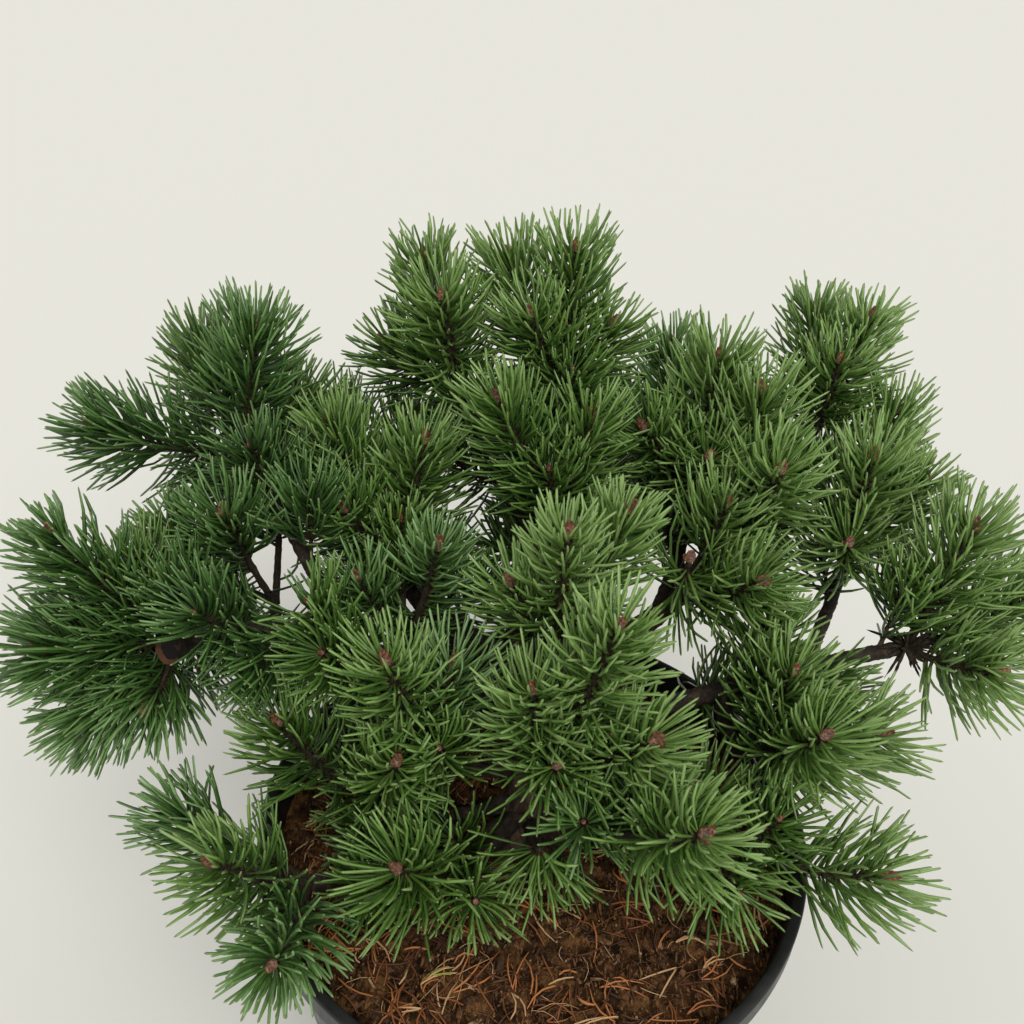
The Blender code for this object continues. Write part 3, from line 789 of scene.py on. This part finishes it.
def scarred_bark(seed, depth):
    """Relief of the spiral cushions that fallen needles leave."""
    def relief(angle, height, radius):
        rows = cos(5 * angle + height / (1.5 * MM)) * cos(8 * angle - height / (2.1 * MM))
        spot = Vector((cos(angle) * radius, sin(angle) * radius, height + seed))
        return depth * 0.6 * max(0.0, rows) + depth * 0.8 * noise.fractal(spot * 160, 0.8, 2.1, 3)
    return relief


def join_all(name, meshes):
    """Several bmeshes as one mesh."""
    joined = bmesh.new()
    for bm in meshes:
        part = mesh_of("part", bm)
        joined.from_mesh(part)
        bpy.data.meshes.remove(part)
    return mesh_of(name, joined)


def flared(angle, share):
    """How much the trunk widens into its roots."""
    height = point_on(TRUNK, share).z - SOIL_TOP
    return 1 + FLARE * (1 + LOBE * cos(ROOT_LOBES * angle)) * exp(-height / FLARE_HEIGHT)


def make_trunk():
    """The trunk, old and plated, spreading into its roots at the soil."""
    plates = old_bark(3.0, 1.1 * MM)
    length = curve_length(TRUNK)

    def relief(angle, height, radius):
        return radius * (flared(angle, height / length) - 1) + plates(angle, height, radius)
    bm = rolled_limb(TRUNK, trunk_radius, 120, 110, relief)
    place_piece("trunk_bark", mesh_of("trunk_bark", bm), [bark("trunk_bark")], ("trunk",))


def make_boughs(curves):
    """Every bough, scarred, with a collar where it leaves its parent."""
    boughs = []
    for number, mass in enumerate(MASSES):
        curve = curves[mass.name]
        reach = curve_length(curve)
        parent = trunk_radius(mass.at) if mass.parent == "trunk" else 5 * MM

        def radius_at(share, mass=mass, reach=reach, parent=parent):
            past = max(0.0, share * reach - parent)
            return bough_radius(mass, share) * (1 + COLLAR * exp(-past / COLLAR_FADE))
        scars = scarred_bark(number * 1.7, 0.7 * MM)
        full = Curve(curve.start, curve.bend, curve.tip + heading_on(curve, 1) * HUB_DEPTH)
        around = max(20, round(bough_radius(mass, 0) * tau / (1.1 * MM)))
        along = round(reach / (1.6 * MM))
        boughs.append(rolled_limb(full, radius_at, around, along, scars))
    mesh = join_all("bough_bark", boughs)
    nodes = ["bough_" + mass.name for mass in MASSES]
    place_piece("bough_bark", mesh, [bark("bough_bark")], nodes)


def make_stub(curves):
    """A side bough cut off long ago: a brown ring round its dark rotted heart."""
    foot = curves[STUBBED].tip
    curve = Curve(foot, foot.lerp(STUB_END, 0.5), STUB_END)
    bm = rolled_limb(curve, lambda share: STUB_RADIUS, 28, 10, old_bark(9.0, 0.8 * MM), rounded=False)
    ends = [face for face in bm.faces if len(face.verts) > 4]
    heart = min(ends, key=lambda face: (face.calc_center_median() - STUB_END).length)
    ring = bmesh.ops.inset_individual(bm, faces=[heart], thickness=CUT_RING,
                                      use_even_offset=True)["faces"]
    for vert in heart.verts:
        vert.co -= heading_on(curve, 1) * ROT_DEPTH
    heart.material_index = 2
    for face in ring:
        face.material_index = 1
    mesh = mesh_of("cut_stub", bm)
    finishes = [bpy.data.materials["bough_bark"], plain_finish("cut_ring", CUT_RING_COLOUR, 0.8),
                plain_finish("rotted_heart", ROTTED_COLOUR, 0.95)]
    place_piece("cut_stub", mesh, finishes)
    mesh.set_sharp_from_angle(angle=radians(50))


def dead_spurs(knot):
    """Bare dead spurs that stand out of a knot in the wood."""
    draw = random.Random(5)
    spurs = []
    for number in range(SPURS):
        out = Vector((draw.uniform(-1, 1), draw.uniform(-1, 0.4), draw.uniform(-0.7, 1))).normalized()
        tip = knot + out * draw.uniform(8, 21) * MM
        bend = knot.lerp(tip, 0.5) + UP * draw.uniform(-2, 2) * MM
        scars = scarred_bark(number, 0.4 * MM)
        spurs.append(rolled_limb(Curve(knot, bend, tip), lambda share: (1.1 - 0.8 * share) * MM, 8, 8,
                                 scars))
    return spurs


def make_twigs(shoots):
    """The young wood inside the needles, and the dead spurs."""
    twigs = []
    for number, shoot in enumerate(shoots):
        thick = (1.2 if shoot.fine else 1.9) * MM
        twigs.append(rolled_limb(shoot.curve, lambda share, thick=thick: thick * (1 - 0.35 * share), 12,
                                 round(shoot.length / (2.2 * MM)), scarred_bark(number * 0.9, 0.5 * MM)))
    twigs += dead_spurs(next(shoot.curve.start for shoot in shoots if shoot.mass.name == KNOTTED))
    place_piece("twigs", join_all("twigs", twigs), [bark("twig_bark_and_shade")])


def bud_template():
    """A bud one unit long: rows of scales whose points stand off the row above."""
    bm = bmesh.new()
    bmesh.ops.create_circle(bm, segments=BUD_SIDES, radius=0.2)
    edges = list(bm.edges)
    for row in range(BUD_ROWS):
        high = (row + 1) / BUD_ROWS
        for inner, height in ((0.0, high - 0.02), (-0.045, high - 0.06)):
            ring, edges = grown_ring(bm, edges)
            width = 0.30 * (1 - (height - 0.35) ** 2 / 0.46) ** 0.5 + inner
            for vert in ring:
                flat = Vector((vert.co.x, vert.co.y, 0)).normalized() * max(width, 0.03)
                side = round(Vector((1, 0)).angle_signed(flat.xy, 0) / tau * BUD_SIDES)
                point = 0.05 if side % 2 == row % 2 else -0.02
                vert.co = (flat.x, flat.y, height + (point if inner == 0 else 0))
    ring, _ = grown_ring(bm, edges)
    bmesh.ops.pointmerge(bm, verts=ring, merge_co=(0, 0, 1))
    foot = [vert for vert in bm.verts if vert.co.z < 0.001]
    bmesh.ops.contextual_create(bm, geom=foot)
    bmesh.ops.recalc_face_normals(bm, faces=bm.faces)
    return mesh_of("bud", bm)


def put_copies(name, template, places, kinds):
    """Copies of a template, each at its own place, joined in one mesh."""
    corners = corners_of(template)
    full = np.concatenate([corners, np.ones((len(corners), 1))], axis=1)
    laid = np.array([(full @ np.array(place).T)[:, :3] for place in places])
    kinds = np.repeat(np.array(kinds)[:, None], len(template.polygons), axis=1)
    return joined_mesh(name, template, laid, kinds)


def make_buds(shoots):
    """A bud on every shoot, with smaller ones beside it."""
    draw = random.Random(8)
    places = []
    for shoot in shoots:
        if shoot.mass.name in HANGING:
            continue
        heading = heading_on(shoot.curve, 1)
        turn = UP.rotation_difference(heading).to_matrix().to_4x4()
        base = Matrix.Translation(shoot.curve.tip - heading * 1.0 * MM) @ turn
        size = draw.uniform(*BUD_LENGTH) * MM * (0.5 if shoot.fine else 1)
        places.append(base @ Matrix.Scale(size, 4))
        side = draw.uniform(0, tau)
        for _ in range(0 if shoot.fine else draw.choice((0, 1, 1, 2, 3))):
            side += draw.uniform(1.5, 2.6)
            lean = Matrix.Rotation(side, 4, "Z") @ Matrix.Rotation(radians(draw.uniform(26, 42)), 4, "X")
            places.append(base @ lean @ Matrix.Scale(size * draw.uniform(0.55, 0.78), 4))
    mesh = put_copies("buds", bud_template(), places, [0] * len(places))
    place_piece("buds", mesh, [bud_scales()], smooth=False)


def wall_radius(height):
    """The outer radius of the pot's tapered wall at a height."""
    return FOOT_RADIUS + (RIM_RADIUS - RIM_STEP - FOOT_RADIUS) * height / POT_HEIGHT


def turned(profile, steps):
    """A closed turned shape from a profile that starts and ends on the Z axis."""
    bm = bmesh.new()
    verts = [bm.verts.new((radius, 0, height)) for radius, height in profile]
    edges = [bm.edges.new(pair) for pair in zip(verts, verts[1:])]
    bmesh.ops.spin(bm, geom=verts + edges, axis=UP, cent=(0, 0, 0), angle=tau, steps=steps,
                   use_merge=True)
    bmesh.ops.remove_doubles(bm, verts=bm.verts, dist=0.01 * MM)
    bmesh.ops.recalc_face_normals(bm, faces=bm.faces)
    return bm


def make_pot():
    """The nursery pot: a thin wall, a stepped rim with a rolled lip, and drain holes."""
    under_rim = POT_HEIGHT - RIM_DEPTH
    inner = wall_radius(POT_HEIGHT) - WALL
    profile = (
        (0, 2.0 * MM),
        (FOOT_RADIUS - 16 * MM, 2.0 * MM),
        (FOOT_RADIUS - 14 * MM, 0),
        (FOOT_RADIUS - EDGE, 0),
        (FOOT_RADIUS - EDGE * 0.3, EDGE * 0.3),
        (wall_radius(EDGE), EDGE),
        (wall_radius(20 * MM), 20 * MM),
        (wall_radius(under_rim - 24 * MM), under_rim - 24 * MM),
        (wall_radius(under_rim - 23 * MM) + 0.5 * MM, under_rim - 23 * MM),
        (wall_radius(under_rim) + 0.5 * MM, under_rim),
        (RIM_RADIUS - EDGE / 2, under_rim),
        (RIM_RADIUS - 0.3 * MM, under_rim + 0.3 * MM),
        (RIM_RADIUS - 0.1 * MM, under_rim + EDGE),
        (RIM_RADIUS - 0.4 * MM, POT_HEIGHT - 3.2 * MM),
        (RIM_RADIUS, POT_HEIGHT - 2.4 * MM),
        (RIM_RADIUS, POT_HEIGHT - 1.0 * MM),
        (RIM_RADIUS - 0.5 * MM, POT_HEIGHT - 0.25 * MM),
        (RIM_RADIUS - 1.3 * MM, POT_HEIGHT),
        (inner + 0.8 * MM, POT_HEIGHT),
        (inner + 0.2 * MM, POT_HEIGHT - 0.3 * MM),
        (inner, POT_HEIGHT - 1.0 * MM),
        (wall_radius(POT_HEIGHT - 30 * MM) - WALL, POT_HEIGHT - 30 * MM),
        (wall_radius(WALL) - WALL, WALL * 1.8),
        (0, WALL * 1.8),
    )
    shell = added("shell", mesh_of("shell", turned(profile, 180)))
    holes = bmesh.new()
    for index in range(DRAIN_HOLES):
        turn = Matrix.Rotation(tau * index / DRAIN_HOLES, 4, "Z")
        place = turn @ Matrix.Translation((DRAIN_CIRCLE, 0, 0))
        bmesh.ops.create_cone(holes, cap_ends=True, segments=28, radius1=DRAIN_RADIUS,
                              radius2=DRAIN_RADIUS, depth=6 * WALL, matrix=place)
    cutter = added("holes", mesh_of("holes", holes))
    cut = shell.modifiers.new("drain", "BOOLEAN")
    cut.operation = "DIFFERENCE"
    cut.object = cutter
    bpy.context.view_layer.update()
    seen = shell.evaluated_get(bpy.context.evaluated_depsgraph_get())
    mesh = bpy.data.meshes.new_from_object(seen)
    for helper in (shell, cutter):
        bpy.data.objects.remove(helper)
    mesh.name = "pot_shell"
    mesh.materials.clear()
    mesh.shade_smooth()
    mesh.set_sharp_from_angle(angle=radians(50))
    place_piece("pot_shell", mesh, [black_plastic()], ("pot",), smooth=False)


def soil_height(x, y):
    """The lie of the crumbly soil: a little proud of level in its lumps and hollow between."""
    spread = (x * x + y * y) ** 0.5
    edge = min(1.0, max(0.0, (122 * MM - spread) / (18 * MM)))
    level = min(1.0, spread / (60 * MM))
    spot = Vector((x, y, 0.4))
    # lumps, crumbs and grit, in millimetres
    rise = 1.6 * noise.fractal(spot * 38, 0.9, 2.0, 3) * level
    rise += 1.1 * noise.turbulence(spot * 170, 4, False) - 0.9
    rise += 0.7 * noise.fractal(spot * 420, 0.7, 2.2, 3)
    return SOIL_TOP + (rise - 0.6 * (1 - edge)) * MM


def make_soil():
    """The peat that fills the pot, its top all crumbs."""
    inside = wall_radius(SOIL_TOP) - WALL - GAP
    floor = 2 * WALL
    rings = [(inside * (1 - step / 118), SOIL_TOP) for step in range(118)]
    profile = [(0, floor), (wall_radius(floor) - WALL - GAP, floor), *rings, (0, SOIL_TOP)]
    bm = turned(profile, 230)
    for vert in bm.verts:
        if vert.co.z > SOIL_TOP / 2:
            vert.co.z = soil_height(vert.co.x, vert.co.y)
    place_piece("peat_soil", mesh_of("peat_soil", bm), [peat()], ("soil",))


def soil_spots(draw, count, front=0.0, wall=0.0, limit=116 * MM):
    """Spots spread over the soil, more of them towards the front or the wall where asked."""
    spots = []
    while len(spots) < count:
        x, y = draw.uniform(-limit, limit), draw.uniform(-limit, limit)
        if x * x + y * y > limit * limit or x * x + y * y < (24 * MM) ** 2:
            continue
        if draw.random() > 1 - front * (y + limit) / (2 * limit):
            continue
        if draw.random() > 1 - wall * (1 - (x * x + y * y) / limit**2):
            continue
        spots.append((x, y))
    return spots


def make_crumbs(draw, barks):
    """Loose crumbs of peat, with a few of bark among the small ones."""
    crumb = bmesh.new()
    bmesh.ops.create_icosphere(crumb, subdivisions=1, radius=1)
    for vert in crumb.verts:
        vert.co *= draw.uniform(0.65, 1.2)
    places, kinds = [], []
    for x, y in soil_spots(draw, CRUMBS, 0.4, 0.0, 120 * MM):
        size = draw.choice(CRUMB_SIZES) * draw.uniform(0.7, 1.2) * MM
        turn = Matrix.Rotation(draw.uniform(0, tau), 4, (draw.uniform(-1, 1), draw.uniform(-1, 1), 1))
        stretch = Matrix.Diagonal((size, size * draw.uniform(0.6, 1), size * draw.uniform(0.4, 0.8), 1))
        places.append(Matrix.Translation((x, y, soil_height(x, y) + size * 0.2)) @ turn @ stretch)
        kinds.append(draw.choice((0, 0, 0, 0, 0, 1, 1, 2, 2, 3)) if size < 1.3 * MM else 0)
    mesh = put_copies("peat_crumbs", mesh_of("crumb", crumb), places, kinds)
    place_piece("peat_crumbs", mesh, [bpy.data.materials["peat"], *barks], smooth=False)


def make_chips(draw, barks):
    """Chips of bark, longer than they are wide, flat on the soil."""
    chip = bmesh.new()
    bmesh.ops.create_cube(chip, size=1)
    bmesh.ops.bevel(chip, geom=list(chip.edges), offset=0.12, offset_type="OFFSET", segments=1,
                    profile=0.5, affect="EDGES", material=-1)
    for vert in chip.verts:
        vert.co += Vector([draw.uniform(-0.08, 0.08) for _ in range(3)])
    places, kinds = [], []
    for x, y in soil_spots(draw, CHIPS, 0.3):
        long = draw.uniform(2, 9) * MM
        wide = draw.choice(CHIP_WIDTHS) * MM
        turn = Matrix.Rotation(draw.uniform(0, tau), 4, "Z")
        turn = turn @ Matrix.Rotation(draw.uniform(-0.3, 0.3), 4, "Y")
        size = Matrix.Diagonal((long, wide, draw.uniform(0.4, 1.1) * MM, 1))
        places.append(Matrix.Translation((x, y, soil_height(x, y) + 0.7 * MM)) @ turn @ size)
        kinds.append(draw.choice((0, 0, 0, 1, 1, 1, 1, 2)))
    mesh = put_copies("bark_chips", mesh_of("chip", chip), places, kinds)
    place_piece("bark_chips", mesh, barks, smooth=False)


def make_mulch():
    """What lies loose on the soil, crumbs first."""
    draw = random.Random(31)
    barks = [bark(name) for name in ("chip_dark", "chip_brown", "chip_tan")]
    make_crumbs(draw, barks)
    make_chips(draw, barks)


def make_litter():
    """Dry needles that lie in pairs on the soil, fine root fibres, and one fresh pair."""
    template = needle_template()
    draw = random.Random(44)
    start, bend, tip, side, width, kinds = [], [], [], [], [], []

    def lay(x, y, angle, length, wide, kind, bow):
        far = (x + cos(angle) * length, y + sin(angle) * length)
        mid = ((x + far[0]) / 2 - sin(angle) * bow, (y + far[1]) / 2 + cos(angle) * bow)
        for spot in (far, mid):
            if spot[0] ** 2 + spot[1] ** 2 > (120 * MM) ** 2:
                return
        lift = draw.uniform(0.6, 2.2) * MM
        start.append((x, y, soil_height(x, y) + lift))
        bend.append((*mid, soil_height(*mid) + draw.uniform(1.0, 4.0) * MM))
        tip.append((*far, soil_height(*far) + draw.uniform(0.6, 2.4) * MM))
        side.append((-sin(angle), cos(angle), draw.uniform(-0.6, 0.6)))
        width.append(wide)
        kinds.append(kind)
    for x, y in soil_spots(draw, DRY_NEEDLES, 0.4, 0.7, 119 * MM):
        angle, length = draw.uniform(0, tau), draw.uniform(8, 22) * MM
        kind = draw.choice((0, 0, 1, 1, 2, 2, 3))
        bow = draw.uniform(-6, 6) * MM
        lay(x, y, angle, length, DRY_WIDTH, kind, bow)
        if draw.random() < 0.6:
            angle += draw.uniform(0.1, 0.7)
            lay(x, y, angle, length * draw.uniform(0.85, 1), DRY_WIDTH, kind, bow)
    for x, y in soil_spots(draw, FIBRES, 0.3, 0.4, 119 * MM):
        kind = draw.choice((0, 0, 1, 3))
        angle, length = draw.uniform(0, tau), draw.uniform(4, 19) * MM
        lay(x, y, angle, length, FIBRE_WIDTH, kind, draw.uniform(-6, 6) * MM)
    fresh = len(DRY_BROWNS)
    for angle in FRESH_TURNS:
        lay(*FRESH_AT, angle, FRESH_LENGTH, DRY_WIDTH, fresh, 1.5 * MM)
    laid = lay_needles(template, *(np.array(each) for each in (start, bend, tip, side, width)))
    finishes = [plain_finish(f"dry_needle_{number}", colour, 0.6)
                for number, colour in enumerate(DRY_BROWNS)]
    finishes.append(plain_finish("fresh_needle", FRESH_COLOUR, 0.45))
    faces = np.repeat(np.array(kinds)[:, None], len(template.polygons), axis=1)
    place_piece("fallen_needles", joined_mesh("fallen_needles", template, laid, faces), finishes)


# The studio

def make_camera():
    """The camera, where the photograph's was."""
    ahead, right, up = camera_axes()
    data = bpy.data.cameras.new("camera")
    data.sensor_width = 36
    data.angle = CAMERA_ANGLE
    camera = added("camera", data)
    turn = Matrix((right, up, -ahead)).transposed().to_4x4()
    camera.matrix_world = Matrix.Translation(CAMERA_AT) @ turn
    bpy.context.scene.camera = camera


def soft_light():
    """A broad even light from far off, the same over the whole floor."""
    data = bpy.data.lights.new("skylight", "SUN")
    data.energy = SUN_STRENGTH
    data.angle = SUN_WIDTH
    data.color = SUN_COLOUR
    light = added("skylight", data)
    light.rotation_euler = SUN_FROM.to_track_quat("Z", "Y").to_euler()


def make_studio():
    """A plain pale floor under soft light."""
    bm = bmesh.new()
    bmesh.ops.create_grid(bm, x_segments=1, y_segments=1, size=9)
    floor = added("floor", mesh_of("floor", bm))
    floor.data.materials.append(plain_finish("pale_floor", FLOOR_COLOUR, 0.9))
    world = bpy.data.worlds.new("studio")
    world.use_nodes = True
    sky = world.node_tree.nodes["Background"]
    sky.inputs["Color"].default_value = (*SKY_COLOUR, 1)
    sky.inputs["Strength"].default_value = SKY_STRENGTH
    bpy.context.scene.world = world
    soft_light()
    bpy.context.scene.view_settings.view_transform = "Standard"


def main():
    """Grow the plant, then make each of its pieces."""
    curves = {"trunk": TRUNK}
    for mass in MASSES:
        curves[mass.name] = bough_of(mass, curves[mass.parent])
    shoots = [shoot for mass in MASSES for shoot in shoots_of(mass, curves[mass.name])]
    shoots += fine_shoots(curves, shoots)
    shoots += late_shoots(curves)
    wood = [(*point_on(TRUNK, step / 15), trunk_radius(step / 15)) for step in range(16)]
    for mass in MASSES:
        wood += [(*point_on(curves[mass.name], step / 24), bough_radius(mass, step / 24))
                 for step in range(24)]
    make_camera()
    make_studio()
    make_pot()
    make_soil()
    make_mulch()
    make_litter()
    make_trunk()
    make_boughs(curves)
    make_stub(curves)
    make_twigs(shoots)
    make_buds(shoots)
    make_needles(shoots, np.array(wood))


main()
